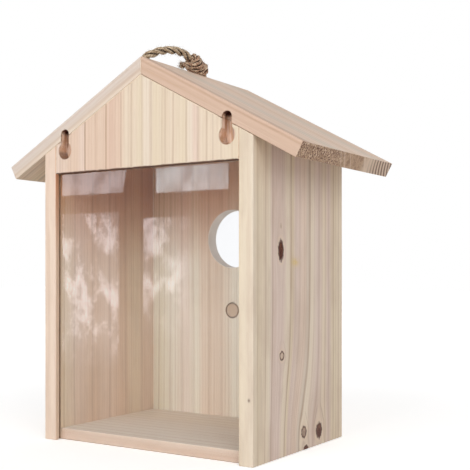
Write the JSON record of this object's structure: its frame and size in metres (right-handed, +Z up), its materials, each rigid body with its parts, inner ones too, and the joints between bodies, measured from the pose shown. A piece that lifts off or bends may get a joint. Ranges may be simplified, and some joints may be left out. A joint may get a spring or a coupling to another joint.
{
  "type": "window nest box",
  "caption": "Gabled softwood nest box with a round entrance and perch, a clear pane that slides out on the window side, keyholes and a rope loop.",
  "frame": {"origin": "middle of the flat underside of the floor board, on the surface that the box stands on", "axes": "+Z up; -Y towards the window side with the pane, +Y towards the entrance and perch; +X to the right as seen from the window side"},
  "size_m": [0.209, 0.146, 0.2384],
  "materials": {
    "pale_softwood": "planed and unfinished, straight brown grain",
    "turned_dowel": "turned and unfinished",
    "clear_acrylic": "clear and polished",
    "twisted_jute": "twisted natural fibre with loose hairs",
    "pin_steel": "bright drawn wire"
  },
  "bodies": {
    "house": {"left_wall": "pale_softwood", "right_wall": "pale_softwood", "entrance_wall": "pale_softwood", "gable_board": "pale_softwood", "floor_board": "pale_softwood", "roof_board_left": "pale_softwood", "roof_board_right": "pale_softwood", "perch_dowel": "turned_dowel", "rope_handle": "twisted_jute", "rope_knot": "twisted_jute", "pin_left_gable": "pin_steel", "pin_left_entrance_1": "pin_steel", "pin_left_entrance_2": "pin_steel", "pin_left_entrance_3": "pin_steel", "pin_left_floor_1": "pin_steel", "pin_left_floor_2": "pin_steel", "pin_left_roof_1": "pin_steel", "pin_left_roof_2": "pin_steel", "pin_left_roof_3": "pin_steel", "pin_left_gable_board_top": "pin_steel", "pin_left_entrance_wall_top": "pin_steel", "pin_right_gable": "pin_steel", "pin_right_entrance_1": "pin_steel", "pin_right_entrance_2": "pin_steel", "pin_right_entrance_3": "pin_steel", "pin_right_floor_1": "pin_steel", "pin_right_floor_2": "pin_steel", "pin_right_roof_1": "pin_steel", "pin_right_roof_2": "pin_steel", "pin_right_roof_3": "pin_steel", "pin_right_gable_board_top": "pin_steel", "pin_right_entrance_wall_top": "pin_steel"},
    "pane": {"window_pane": "clear_acrylic"}
  },
  "joints": [
    {"name": "pane_slide", "type": "slide", "parent": "house", "child": "pane", "axis": [0, 0, -1], "range_m": [0, 0.15]}
  ]
}
